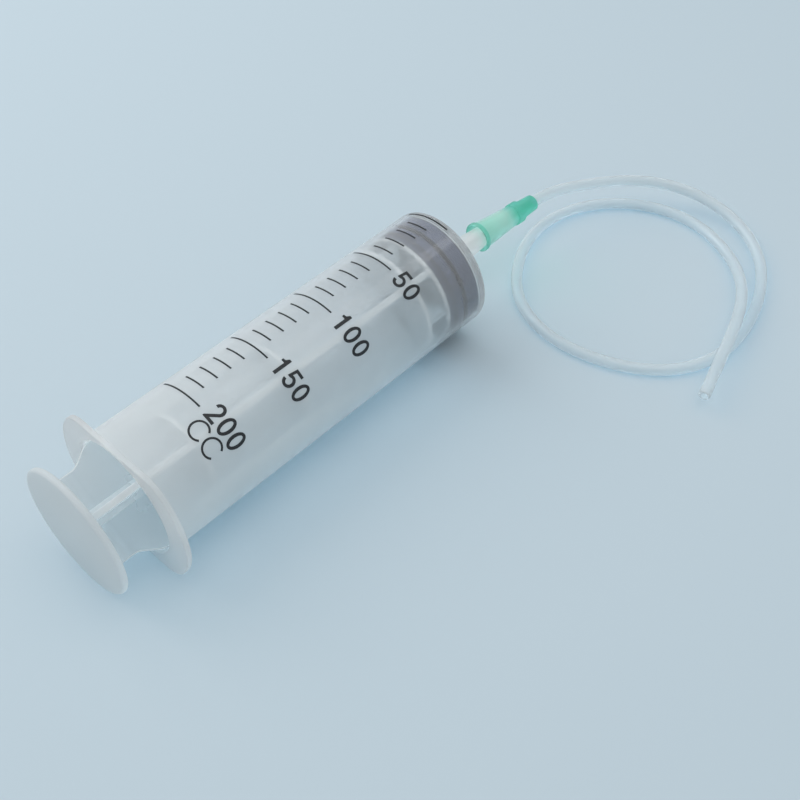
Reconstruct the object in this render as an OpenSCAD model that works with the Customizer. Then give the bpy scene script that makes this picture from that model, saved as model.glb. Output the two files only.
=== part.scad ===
// Large flushing syringe with a catheter on its nozzle, lying on its side with the plunger fully in.
// Millimetres, +Z up, standing surface at z = 0, +X towards the nozzle.
// Lengths along the syringe are counted from the inner edge of the barrel's front wall.

/* [Barrel] */
// Outer diameter of the barrel
barrel_d = 48.8; // [36:0.2:60]
// Wall of the barrel
barrel_wall = 1.5; // [1.2:0.1:2.5]
// Length of the barrel from its mouth to its front edge
barrel_len = 156.5; // [130:0.5:200]
// Thickness of the front wall
front_wall = 2.4; // [1.6:0.1:4]
// Rise of the shallow cone that the front wall makes
front_rise = 2.6; // [1:0.1:5]
// Rounding of the front edge
front_round = 1.2; // [0.5:0.1:1.5]
// Lead-in at the mouth of the bore
mouth_chamfer = 0.6; // [0.3:0.1:1]
// Height of the bead inside the mouth that keeps the piston in
bead_h = 0.3; // [0.2:0.05:0.4]
// Distance of the bead from the mouth
bead_inset = 4; // [3:0.5:8]

/* [Finger flange] */
// How far the two wings stand out from the barrel
flange_wing = 8.4; // [6:0.2:16]
// How far the two flats stand out from the barrel
flange_lip = 0.3; // [0.2:0.1:2]
// Thickness of the flange
flange_t = 2.2; // [1.6:0.1:3.5]
// Rounding of the flange's four corners
flange_corner = 11; // [3:0.5:14]

/* [Nozzle] */
// Length of the nozzle ahead of the front wall's cone
nozzle_len = 35.4; // [28:0.2:42]
// Diameter of the nozzle at its root
nozzle_root_d = 11.4; // [10:0.1:13]
// Diameter of the nozzle at its tip
nozzle_tip_d = 6.2; // [5.4:0.1:7]
// Bore through the nozzle
nozzle_bore_d = 3.4; // [2.6:0.1:4]
// Rounding where the nozzle meets the front wall
nozzle_fillet = 1.5; // [0.8:0.1:2.5]

/* [Rubber piston] */
// Length of the front sealing band
band_front = 7; // [6:0.1:9]
// Length of the rear sealing band
band_rear = 4.4; // [3.5:0.1:6]
// Width of the groove between the bands
groove_w = 1.2; // [0.8:0.1:2]
// Depth of the groove between the bands
groove_depth = 1.3; // [0.8:0.1:2]
// Length of the narrower skirt behind the bands
skirt_len = 2.3; // [1.5:0.1:4]
// Step from the bands down to the skirt
skirt_step = 0.9; // [0.5:0.1:1.5]
// Wall of rubber round the cavity that holds the rod's head
piston_wall = 5.8; // [4:0.1:8]
// How far the lip behind the cavity reaches inwards
lip_reach = 2.2; // [1.4:0.1:3]
// Depth of the lip behind the cavity
piston_lip = 2.8; // [2:0.1:4]
// Length of the cavity
piston_cavity = 5; // [4:0.1:5.6]

/* [Plunger rod] */
// Thickness of the rod's four ribs
rib_t = 2.4; // [1.6:0.1:3.5]
// Radius of the rod's round core
core_r = 3.4; // [2.6:0.1:5]
// Thickness of the discs across the ribs
disc_t = 1.8; // [1.2:0.1:3]
// Distance between the two guide discs behind the piston
guide_pitch = 10; // [7:0.5:14]
// Gap between the two stiffening discs and the bore
stiffener_gap = 6.9; // [5:0.1:9]
// Spacing of the stiffening discs, from the thumb disc on
stiffener_pitch = 44; // [36:0.5:48]
// Gap between the flange and the thumb disc with the plunger in
thumb_gap = 18; // [16:0.5:30]
// How far the ribs' edges drop where the rod narrows next to the thumb disc
waist_drop = 4.9; // [3:0.1:8]
// Length over which the ribs flare out to the bore
flare_len = 11; // [8:0.5:14]
// How far the flare reaches into the barrel
flare_inset = 2; // [1:0.5:3]
// Turn of the ribs about the axis, from upright towards +Y
rib_turn = -35; // [-45:1:45]

/* [Thumb disc] */
// Diameter of the thumb disc
thumb_d = 50.8; // [44:0.2:60]
// Thickness of the thumb disc at its rim
thumb_t = 2.7; // [2:0.1:4]
// Rise of the thumb disc's crowned outer face
thumb_crown = 1; // [0.6:0.1:2]

/* [Funnel connector] */
// How far the nozzle goes into the funnel
funnel_grip = 16; // [12:0.5:20]
// Wall of the funnel
funnel_wall = 1; // [0.8:0.1:1.6]
// Length of the funnel from its mouth to the collar
funnel_len = 21.1; // [20:0.1:26]
// Length of the thick rim at the funnel's mouth
rim_len = 2; // [1.6:0.1:4]
// How far the rim stands out
rim_out = 0.45; // [0.4:0.05:1]
// Lead-in at the funnel's mouth
lead_in = 0.9; // [0.5:0.1:1.1]
// Diameter of the collar
collar_d = 9.3; // [9:0.1:11]
// Length of the collar
collar_len = 4.2; // [3:0.1:8]
// Length of the sleeve that the tube is bonded into
sleeve_len = 8.4; // [7:0.1:12]
// Wall of the sleeve at its end
sleeve_wall = 1; // [0.6:0.1:1.2]
// Direction in which the funnel leans on the nozzle, from straight down towards -Y
lean_turn = 28; // [0:1:60]

/* [Catheter] */
// Outer diameter of the tube
tube_d = 4.7; // [4:0.1:5]
// Bore of the tube
lumen_d = 3.1; // [2.4:0.1:3.2]
// Length of the formed tip
tip_len = 17; // [16:0.5:26]
// Width of the side eyes
eye_w = 2.4; // [1.8:0.1:2.6]
// Length of the side eyes
eye_len = 4; // [3:0.1:5]
// Distance of the first eye from the end of the tip
eye_inset = 5.5; // [5:0.5:7]
// Distance between the two eyes
eye_pitch = 5.5; // [5:0.5:6]

/* [Clearances] */
// Radial clearance of the piston's bands in the bore
band_clearance = 0.05; // [0.02:0.01:0.1]
// Radial clearance of the rod's ribs and discs in the bore
rod_clearance = 0.6; // [0.5:0.05:1]
// Gap between the piston and the barrel's front wall
front_gap = 1; // [0.3:0.1:1.5]
// Gap between the rod and the piston all round its head
head_gap = 0.3; // [0.2:0.05:0.5]
// Gap between the nozzle and the funnel
taper_gap = 0.5; // [0.1:0.05:0.6]
// Gap between the tube and the surface that it lies on
lay_gap = 0.15; // [0.1:0.05:0.5]

/* [Hidden] */
$fn = 96;

// Small overlap that lets a cut run past the face it opens
past = 1;
// Half-length of the retaining bead's two slopes
bead_slope = 1.2;
// Rounding at the nozzle's end and at the funnel's rim
edge_round = 0.6;
// Rounding of the thumb disc's rim
rim_round = 1.1;
// Faces along a quarter of a small rounding, and along a flare
round_steps = 4;
flare_steps = 10;

barrel_r = barrel_d / 2;
bore_r = barrel_r - barrel_wall;
mouth_x = front_wall - barrel_len;
flange_r = barrel_r + flange_wing;
flange_half = barrel_r + flange_lip;
nozzle_x = front_wall + front_rise;
nozzle_end = nozzle_x + nozzle_len;
nozzle_slope = (nozzle_root_d - nozzle_tip_d) / 2 / nozzle_len;
nozzle_bore_r = nozzle_bore_d / 2;

piston_r = bore_r - band_clearance;
piston_front = -front_gap;
band_1 = piston_front - band_front;
band_2 = band_1 - groove_w;
band_3 = band_2 - band_rear;
piston_back = band_3 - skirt_len;
cavity_r = piston_r - piston_wall;
neck_r = cavity_r - lip_reach;
cavity_back = piston_back + piston_lip;
cavity_front = cavity_back + piston_cavity;

rod_r = bore_r - rod_clearance;
waist_r = rod_r - waist_drop;
rod_front = piston_back - head_gap;
thumb_x = mouth_x - thumb_gap;
thumb_back = thumb_x - thumb_t;
flare_end = mouth_x + flare_inset;
flare_start = flare_end - flare_len;

funnel_x = nozzle_end - funnel_grip;
collar_x = funnel_x + funnel_len;
sleeve_x = collar_x + collar_len;
connector_end = sleeve_x + sleeve_len;
lumen_r = lumen_d / 2;
tube_r = tube_d / 2;
sleeve_r = tube_r + sleeve_wall;

// The funnel's gap lets it lean on the nozzle, about the middle of their grip
lean_share = 0.85;
lean_x = nozzle_end - funnel_grip / 2;
lean = atan(lean_share * taper_gap / (funnel_grip / 2));
lean_dir = [cos(lean), -sin(lean) * sin(lean_turn), -sin(lean) * cos(lean_turn)];
connector_reach = lean_x + (connector_end - lean_x) * cos(lean) + sleeve_r * sin(lean);

// The syringe rests on the barrel's front edge and on the thumb disc's rim, or on a larger flange
rest_front = front_wall - front_round;
thumb_rest = thumb_x - thumb_t / 2;
rest_tilt = max(
    atan((thumb_d / 2 - barrel_r) / (rest_front - thumb_rest)),
    atan((flange_half - barrel_r) / (rest_front - mouth_x)));
axis_height = barrel_r * cos(rest_tilt) + rest_front * sin(rest_tilt);
origin_x = -(thumb_back - thumb_crown + connector_reach) / 2;

// Turns a direction along the syringe into one of the syringe as it rests
function lying(v) = [
    v[0] * cos(rest_tilt) + v[2] * sin(rest_tilt), v[1], v[2] * cos(rest_tilt) - v[0] * sin(rest_tilt)];

// The tube leaves the connector along its axis and then follows the lay's points, which count forwards
// from the connector's end, sideways from the syringe, and up from where the tube lies on the surface
tube_dir = lying(lean_dir);
tube_exit = [origin_x, 0, axis_height] + lying([lean_x, 0, 0] + (connector_end - lean_x) * lean_dir);
exit_run = 12;
lay_height = tube_r + lay_gap;
LAY = [
    [33.5, -8.3, 15.1], [50, -18.2, 12.5], [62.9, -31.5, 8], [67.9, -47.5, 4.5],
    [64.9, -65, 2], [55.4, -80, 0.5], [40.4, -90.5, 0], [22.4, -97.5, 0],
    [4.4, -100.5, 0], [-12.6, -97, 0], [-26.1, -86.5, 0], [-35.1, -70.5, 0],
    [-39.6, -52, 0], [-38.1, -34.5, 0], [-30.1, -18.5, 0], [-16.1, -7, 0],
    [0.9, 1, 0], [18.9, 2, 0], [35.4, -4.5, 0], [47.9, -16.5, 0],
    [55.4, -33, 0], [55.9, -51, 0], [48.9, -68, 0.5], [37.4, -82, 3],
    [22.4, -92, 5.3], [5.4, -98.5, 5.3], [-12.1, -104, 5.1]];
ROUTE = concat(
    [tube_exit, tube_exit + exit_run * tube_dir],
    [for (p = LAY) [tube_exit[0] + p[0], p[1], lay_height + p[2]]]);
tube_sides = 10;
steps_per_point = 2;

// Points of an arc about [x, y], from angle a to angle b
function arc(x, y, r, a, b, steps) =
    [for (i = [0:steps]) let (t = a + (b - a) * i / steps) [x + r * cos(t), y + r * sin(t)]];

// Radius of the nozzle's taper at x
function taper_r(x) = nozzle_root_d / 2 - nozzle_slope * (x - nozzle_x);

// Smooth step from 0 to 1
function ease(u) = u * u * (3 - 2 * u);

// Route points, with one more beyond each end so that the curve ends on the last ones
function route_point(p, i) =
    i < 0 ? 2 * p[0] - p[1] :
    i >= len(p) ? 2 * p[len(p) - 1] - p[len(p) - 2] :
    p[i];

// Point of a uniform cubic spline in stretch i, at share f of it
function spline_point(p, i, f) =
    (pow(1 - f, 3) * route_point(p, i - 1)
    + (3 * pow(f, 3) - 6 * pow(f, 2) + 4) * route_point(p, i)
    + (-3 * pow(f, 3) + 3 * pow(f, 2) + 3 * f + 1) * route_point(p, i + 1)
    + pow(f, 3) * route_point(p, i + 2)) / 6;

// The whole curve, steps points to each stretch
function spline(p, steps) = concat(
    [for (i = [0:len(p) - 2]) for (k = [0:steps - 1]) spline_point(p, i, k / steps)],
    [p[len(p) - 1]]);

function unit(v) = v / norm(v);

// Direction of a curve at its point i
function heading(c, i) =
    i == 0 ? unit(ROUTE[1] - ROUTE[0]) :
    i == len(c) - 1 ? unit(ROUTE[len(ROUTE) - 1] - ROUTE[len(ROUTE) - 2]) :
    unit(c[i + 1] - c[i - 1]);

// Ring of points about point i of a curve, square to it
function ring(c, i, r, sides) =
    let (t = heading(c, i), side = unit(cross(t, [0, 0, 1])), up = cross(side, t))
    [for (k = [0:sides - 1]) let (a = 360 * k / sides) c[i] + r * (cos(a) * side + sin(a) * up)];

// Lays a piece that is modelled along the X axis down as it rests
module at_rest() {
    translate([origin_x, 0, axis_height]) rotate([0, rest_tilt, 0]) children();
}

// Revolves a profile of [radius, distance along X] about the X axis
module revolve(points) {
    rotate([0, 90, 0]) rotate_extrude() polygon(points);
}

// Disc across the axis, from x on
module disc(x, t, r) {
    translate([x, 0, 0]) rotate([0, 90, 0]) cylinder(h = t, r = r);
}

// Outside of the barrel and nozzle, as a solid
module barrel_outside() {
    nozzle_root = nozzle_root_d / 2;
    revolve(concat(
        [[0, mouth_x], [barrel_r, mouth_x]],
        arc(barrel_r - front_round, front_wall - front_round, front_round, 0, 90, round_steps),
        [[nozzle_root + nozzle_fillet, nozzle_x - nozzle_fillet * front_rise / (barrel_r - nozzle_root)]],
        [[nozzle_root, nozzle_x + nozzle_fillet], [nozzle_tip_d / 2, nozzle_end - edge_round]],
        arc(nozzle_tip_d / 2 - edge_round, nozzle_end - edge_round, edge_round, 0, 90, round_steps),
        [[0, nozzle_end]]));
}

// Space inside the barrel and nozzle, with the bead that keeps the piston in
module barrel_inside() {
    bead_x = mouth_x + bead_inset;
    mouth_r = bore_r + mouth_chamfer;
    revolve([
        [0, mouth_x - past], [mouth_r, mouth_x - past], [mouth_r, mouth_x],
        [bore_r, mouth_x + mouth_chamfer],
        [bore_r, bead_x - bead_slope], [bore_r - bead_h, bead_x], [bore_r, bead_x + bead_slope],
        [bore_r, 0], [nozzle_bore_r, front_rise],
        [nozzle_bore_r, nozzle_end + past], [0, nozzle_end + past]]);
}

// Finger flange: a disc with two flats and rounded corners, its wings along Y
module flange_plate() {
    corner_z = flange_half - flange_corner;
    corner_y = sqrt(pow(flange_r - flange_corner, 2) - pow(corner_z, 2));
    reach = 2 * flange_r / corner_y;
    for (s = [-1, 1], e = [-1, 1])
        translate([mouth_x, s * corner_y, e * corner_z]) rotate([0, 90, 0])
            cylinder(h = flange_t, r = flange_corner);
    translate([mouth_x, -corner_y, -flange_half]) cube([flange_t, 2 * corner_y, 2 * flange_half]);
    intersection() {
        disc(mouth_x, flange_t, flange_r);
        for (s = [-1, 1])
            translate([mouth_x, 0, 0]) rotate([90, 0, 90]) linear_extrude(flange_t)
                polygon([[0, 0], reach * [s * corner_y, -corner_z], reach * [s * corner_y, corner_z]]);
    }
}

// Barrel, finger flange and nozzle, moulded in one
module barrel() {
    color([0.86, 0.9, 0.93, 0.5]) at_rest() difference() {
        union() {
            barrel_outside();
            flange_plate();
        }
        barrel_inside();
    }
}

// Rubber piston: two sealing bands, a coned nose and an undercut cavity for the rod's head
module rubber_piston() {
    nose_r = nozzle_bore_r;
    nose_x = piston_front + front_rise * (piston_r - nose_r) / (bore_r - nozzle_bore_r);
    groove_r = piston_r - groove_depth;
    skirt_r = piston_r - skirt_step;
    lead = edge_round / 2;
    color([0.33, 0.37, 0.45]) at_rest() revolve([
        [0, nose_x], [nose_r, nose_x], [piston_r - lead, piston_front], [piston_r, piston_front - lead],
        [piston_r, band_1 + lead], [groove_r, band_1], [groove_r, band_2],
        [piston_r, band_2 - lead], [piston_r, band_3 + lead], [skirt_r, band_3 - lead],
        [skirt_r, piston_back], [neck_r, piston_back], [neck_r, cavity_back],
        [cavity_r, cavity_back], [cavity_r, cavity_front], [0, cavity_front]]);
}

// Upper edge of the rod's ribs, from the thumb disc to the piston
function rib_edge() = concat(
    [[thumb_x - thumb_t / 2, waist_r]],
    [for (i = [0:flare_steps]) let (u = i / flare_steps)
        [flare_start + flare_len * u, waist_r + (rod_r - waist_r) * ease(u)]],
    [[rod_front - disc_t / 2, rod_r]]);

// One plate through the axis that makes two opposite ribs
module rib_plate() {
    edge = rib_edge();
    rotate([90, 0, 0]) linear_extrude(rib_t, center = true)
        polygon(concat(edge, [for (i = [len(edge) - 1:-1:0]) [edge[i][0], -edge[i][1]]]));
}

// Crowned disc that the thumb presses, rounded at its rim
module thumb_disc() {
    r = thumb_d / 2;
    crown_half = r - rim_round;
    crown_r = (pow(crown_half, 2) + pow(thumb_crown, 2)) / 2 / thumb_crown;
    crown_angle = asin(crown_half / crown_r);
    revolve(concat(
        [[0, thumb_x], [r - rim_round, thumb_x]],
        arc(r - rim_round, thumb_x - rim_round, rim_round, 90, 0, round_steps),
        arc(r - rim_round, thumb_back + rim_round, rim_round, 0, -90, round_steps),
        [for (i = [1:flare_steps]) let (a = crown_angle * (1 - i / flare_steps))
            [crown_r * sin(a), thumb_back - thumb_crown + crown_r * (1 - cos(a))]]));
}

// Round head that snaps into the piston, on its neck
module rod_head() {
    head_back = cavity_back + head_gap;
    disc(rod_front - disc_t / 2, head_back - rod_front + disc_t, neck_r - head_gap);
    disc(head_back, cavity_front - head_gap - head_back, cavity_r - head_gap);
}

// Plunger rod: four ribs, guide and stiffening discs, thumb disc and head, moulded in one
module plunger_rod() {
    guide_2 = rod_front - disc_t - guide_pitch;
    color([0.9, 0.92, 0.93, 0.8]) at_rest() union() {
        rotate([-rib_turn, 0, 0]) for (turn = [0, 90]) rotate([turn, 0, 0]) rib_plate();
        disc(rod_front - disc_t, disc_t, rod_r);
        disc(guide_2, disc_t, rod_r);
        rotate([-rib_turn - 45, 0, 0]) for (turn = [0, 90]) rotate([turn, 0, 0])
            translate([guide_2 + disc_t / 2, -rib_t / 2, -rod_r + edge_round])
                cube([guide_pitch, rib_t, 2 * (rod_r - edge_round)]);
        for (i = [1, 2]) disc(thumb_x + i * stiffener_pitch - disc_t / 2, disc_t, bore_r - stiffener_gap);
        disc(thumb_x - thumb_t / 2, rod_front - disc_t / 2 - thumb_x + thumb_t / 2, core_r);
        thumb_disc();
        rod_head();
    }
}

// Leans a piece on the nozzle as far as its gap lets it
module leaning() {
    translate([lean_x, 0, 0]) rotate([-lean_turn, 0, 0]) rotate([0, lean, 0]) rotate([lean_turn, 0, 0])
        translate([-lean_x, 0, 0]) children();
}

// Soft funnel that pushes onto the nozzle, with its rim, collar and sleeve
module funnel_connector() {
    out = taper_gap + funnel_wall;
    rim_r = taper_r(funnel_x) + out + rim_out;
    body_x = funnel_x + rim_len;
    throat_x = nozzle_end + taper_gap;
    color([0.45, 0.83, 0.66, 0.85]) at_rest() leaning() revolve(concat(
        [[taper_r(funnel_x) + taper_gap + lead_in, funnel_x]],
        arc(rim_r - edge_round, funnel_x + edge_round, edge_round, -90, 0, round_steps),
        arc(rim_r - edge_round, body_x - edge_round, edge_round, 0, 90, round_steps),
        [[taper_r(body_x) + out, body_x], [taper_r(collar_x) + out, collar_x],
         [collar_d / 2, collar_x], [collar_d / 2, sleeve_x], [sleeve_r + sleeve_wall / 2, sleeve_x],
         [sleeve_r, connector_end], [lumen_r, connector_end], [lumen_r, throat_x + funnel_wall],
         [taper_r(throat_x) + taper_gap, throat_x],
         [taper_r(funnel_x + lead_in) + taper_gap, funnel_x + lead_in]]));
}

// Tube swept along the route
module catheter_tube() {
    curve = spline(ROUTE, steps_per_point);
    rings = [for (i = [0:len(curve) - 1]) ring(curve, i, tube_r, tube_sides)];
    points = concat([for (r = rings) each r], [curve[0], curve[len(curve) - 1]]);
    first = len(points) - 2;
    last = len(points) - 1;
    back = (len(curve) - 1) * tube_sides;
    faces = concat(
        [for (i = [0:len(curve) - 2], k = [0:tube_sides - 1])
            let (a = i * tube_sides + k, b = i * tube_sides + (k + 1) % tube_sides)
            each [[a, a + tube_sides, b], [b, a + tube_sides, b + tube_sides]]],
        [for (k = [0:tube_sides - 1]) [first, k, (k + 1) % tube_sides]],
        [for (k = [0:tube_sides - 1]) [last, back + (k + 1) % tube_sides, back + k]]);
    color([0.88, 0.93, 0.96, 0.6]) polyhedron(points, faces);
}

// Slot through one wall of the tip, from its axis out
module side_eye() {
    for (s = [-1, 1]) translate([s * (eye_len - eye_w) / 2, 0, 0]) cylinder(h = tube_d, d = eye_w);
    translate([-(eye_len - eye_w) / 2, -eye_w / 2, 0]) cube([eye_len - eye_w, eye_w, tube_d]);
}

// Formed end of the catheter: rounded nose, open bore and two side eyes
module catheter_tip() {
    dir = unit(ROUTE[len(ROUTE) - 1] - ROUTE[len(ROUTE) - 2]);
    nose = tube_r - lumen_r;
    eye_1 = tip_len - eye_inset;
    color([0.88, 0.93, 0.96, 0.6])
        translate(ROUTE[len(ROUTE) - 1]) rotate([0, -asin(dir[2]), atan2(dir[1], dir[0])])
        difference() {
            revolve(concat(
                [[lumen_r, 0], [tube_r, 0]],
                arc(tube_r - nose, tip_len - nose, nose, 0, 90, round_steps)));
            translate([eye_1, 0, 0]) rotate([90, 0, 0]) side_eye();
            translate([eye_1 - eye_pitch, 0, 0]) rotate([-90, 0, 0]) side_eye();
        }
}

barrel();
rubber_piston();
plunger_rod();
funnel_connector();
catheter_tube();
catheter_tip();
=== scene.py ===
"""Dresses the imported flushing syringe: milky barrel and rod, dark rubber piston, green funnel and clear catheter.

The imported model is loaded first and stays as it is. Each sub-assembly is a class that builds its own detailed
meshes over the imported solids, in the same frame, and hands them to the bodies that they move with.
"""
from __future__ import annotations

import logging
import math
from dataclasses import dataclass, field
from enum import Enum
from typing import Any, Callable, Sequence

import bmesh
import bpy
from mathutils import Matrix, Vector


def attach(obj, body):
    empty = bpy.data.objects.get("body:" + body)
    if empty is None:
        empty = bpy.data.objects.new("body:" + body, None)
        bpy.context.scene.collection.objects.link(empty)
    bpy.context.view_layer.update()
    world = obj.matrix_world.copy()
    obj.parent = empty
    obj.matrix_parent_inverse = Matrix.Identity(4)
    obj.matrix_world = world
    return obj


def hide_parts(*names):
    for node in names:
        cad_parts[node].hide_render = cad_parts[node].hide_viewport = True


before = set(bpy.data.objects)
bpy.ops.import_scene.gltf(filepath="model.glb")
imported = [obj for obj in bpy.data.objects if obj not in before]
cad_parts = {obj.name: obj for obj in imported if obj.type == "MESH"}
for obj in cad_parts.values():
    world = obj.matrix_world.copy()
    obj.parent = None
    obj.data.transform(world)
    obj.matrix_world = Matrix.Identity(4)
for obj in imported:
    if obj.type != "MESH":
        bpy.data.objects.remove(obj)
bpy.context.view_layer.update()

LOG = logging.getLogger("syringe")
MM = 0.001

# Faces around a large round and around a small one, and along a rounded edge
FINE_SIDES = 192
SMALL_SIDES = 72
EDGE_STEPS = 5
# Edges that turn more than this stay crisp, and points closer than this are one
CRISP_ANGLE = math.radians(32)
MERGE_MM = 0.002
# Places that differ by less than this count as one where a finish's looks change
NEAR_MM = 0.01
# Attribute that blends a finish's two looks: 0 where a wall is thin or recessed, 1 where it is thick or stands out
# On the piston the 0 look is painted shade, in grooves and at band edges; on the rod the 1 look is a painted
# highlight on rims and rib edges
BLEND = "finish_blend"

# Where the syringe's zero mark lies, how high its axis is there, and how far the axis dips towards the nozzle
ZERO_X = 58.779234
AXIS_HEIGHT = 24.4065
REST_TILT = math.radians(0.32806)
LYING = Matrix.Translation((ZERO_X, 0, AXIS_HEIGHT)) @ Matrix.Rotation(REST_TILT, 4, "Y")

# The funnel leans on the nozzle by LEAN, about LEAN_X, in the direction LEAN_TURN from straight down towards -Y
LEAN = math.radians(3.04098)
LEAN_TURN = math.radians(28)
LEAN_X = 32.4
LEANING = (
    LYING
    @ Matrix.Translation((LEAN_X, 0, 0))
    @ Matrix.Rotation(-LEAN_TURN, 4, "X")
    @ Matrix.Rotation(LEAN, 4, "Y")
    @ Matrix.Rotation(LEAN_TURN, 4, "X")
    @ Matrix.Translation((-LEAN_X, 0, 0))
)

Points = list[tuple[float, float]]
Loop = list[Vector]
Place = tuple[float, float, float]
Socket = bpy.types.NodeSocket
Tree = bpy.types.NodeTree
Material = bpy.types.Material
Piece = bpy.types.Object
Shape = bmesh.types.BMesh


class Body(str, Enum):
    """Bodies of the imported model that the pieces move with."""

    BARREL = "barrel"
    PISTON = "piston"
    ROD = "rod"
    CATHETER = "catheter"


class Slot(str, Enum):
    """Material slots of the finishes."""

    BARREL = "barrel_polypropylene"
    ROD = "rod_polypropylene"
    PISTON = "piston_rubber"
    FUNNEL = "funnel_pvc"
    TUBE = "tube_pvc"
    INK = "scale_ink"


class Combining(str, Enum):
    """Ways to make one shape of several."""

    ADD = "UNION"
    CUT = "DIFFERENCE"


def linear(hex_colour: str) -> tuple[float, float, float, float]:
    """Turns an sRGB hex colour into the linear values that shaders take.

    Args:
        hex_colour: Six hex digits, with or without a leading #.

    Returns:
        Red, green, blue and an alpha of 1.
    """
    digits = hex_colour.lstrip("#")
    channels = [int(digits[i : i + 2], 16) / 255 for i in (0, 2, 4)]
    red, green, blue = (c / 12.92 if c <= 0.04045 else ((c + 0.055) / 1.055) ** 2.4 for c in channels)
    return red, green, blue, 1.0


def add_node(tree: Tree, kind: str, inputs: dict[Any, Any] | None = None, **settings: Any) -> Any:
    """Adds one node with its settings, values and links.

    Args:
        tree: Tree that takes the node.
        kind: Blender's name of the node type.
        inputs: Input name or index, with a value or the output socket that feeds it.
        **settings: Attributes of the node itself.

    Returns:
        The new node.
    """
    node = tree.nodes.new(kind)
    for name, value in settings.items():
        setattr(node, name, value)
    for key, value in (inputs or {}).items():
        if isinstance(value, Socket):
            tree.links.new(value, node.inputs[key])
        else:
            node.inputs[key].default_value = value
    return node


def new_material(name: str) -> tuple[Material, Tree, Socket]:
    """Starts a material.

    Args:
        name: Name of the material.

    Returns:
        The material, its empty tree and the place on the piece that its patterns read.
    """
    material = bpy.data.materials.new(name)
    material.use_nodes = True
    tree = material.node_tree
    tree.nodes.clear()
    return material, tree, add_node(tree, "ShaderNodeTexCoord").outputs["Object"]


def patches(tree: Tree, place: Socket, size_mm: float, low: float, high: float, detail: float = 2.0) -> Socket:
    """Wanders between two values in soft patches over a piece.

    Args:
        tree: Tree that takes the nodes.
        place: Place on the piece.
        size_mm: Size of the patches.
        low: Least value.
        high: Greatest value.
        detail: How finely the patches break up.

    Returns:
        The value.
    """
    noise = add_node(tree, "ShaderNodeTexNoise", {"Vector": place, "Scale": 1 / (size_mm * MM), "Detail": detail})
    # Noise keeps to the middle of its range, so the middle is spread over the whole
    values = {"Value": noise.outputs["Fac"], "From Min": 0.3, "From Max": 0.7, "To Min": low, "To Max": high}
    return add_node(tree, "ShaderNodeMapRange", values).outputs["Result"]


def relief(tree: Tree, place: Socket, size_mm: float, height_mm: float) -> Socket:
    """Lets a surface rise and fall softly.

    Args:
        tree: Tree that takes the nodes.
        place: Place on the piece.
        size_mm: Size of the waves.
        height_mm: Height of the waves.

    Returns:
        The surface's normal.
    """
    noise = add_node(tree, "ShaderNodeTexNoise", {"Vector": place, "Scale": 1 / (size_mm * MM), "Detail": 2.0})
    values = {"Strength": 1.0, "Distance": height_mm * MM, "Height": noise.outputs["Fac"]}
    return add_node(tree, "ShaderNodeBump", values).outputs["Normal"]


def two_looks(tree: Tree, thin: str, thick: str, cover: Socket | float = 1.0) -> tuple[Socket, Socket]:
    """Blends a finish's two colours as the piece's attribute says.

    Args:
        tree: Tree that takes the nodes.
        thin: Colour where the attribute is 0.
        thick: Colour where it is 1.
        cover: Share of the thick look that shows where the attribute is 1.

    Returns:
        The share of the thick look and the colour.
    """
    blend = add_node(tree, "ShaderNodeAttribute", attribute_name=BLEND).outputs["Fac"]
    share = add_node(tree, "ShaderNodeMath", {0: blend, 1: cover}, operation="MULTIPLY").outputs[0]
    values = {0: share, 6: linear(thin), 7: linear(thick)}
    return share, add_node(tree, "ShaderNodeMix", values, data_type="RGBA").outputs[2]


def cloudy(tree: Tree, clear: Socket, colour: Socket, haze: Socket | float, shade: str) -> None:
    """Ends a see-through plastic: scatters a share of the light in its wall and lets the lamps shine through.

    Args:
        tree: The material's tree.
        clear: Shader of the share that stays clear.
        colour: Colour that the wall scatters, half of it back and half of it onwards.
        haze: Share of the light that is scattered.
        shade: Colour of the light that falls through the wall.
    """
    back = add_node(tree, "ShaderNodeBsdfDiffuse", {"Color": colour})
    onwards = add_node(tree, "ShaderNodeBsdfTranslucent", {"Color": colour})
    milk = add_node(tree, "ShaderNodeMixShader", {0: 0.5, 1: back.outputs[0], 2: onwards.outputs[0]})
    wall = add_node(tree, "ShaderNodeMixShader", {0: haze, 1: clear, 2: milk.outputs[0]})
    lit = add_node(tree, "ShaderNodeBsdfTransparent", {"Color": linear(shade)})
    ray = add_node(tree, "ShaderNodeLightPath").outputs["Is Shadow Ray"]
    whole = add_node(tree, "ShaderNodeMixShader", {0: ray, 1: wall.outputs[0], 2: lit.outputs[0]})
    add_node(tree, "ShaderNodeOutputMaterial", {"Surface": whole.outputs[0]})


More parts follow.
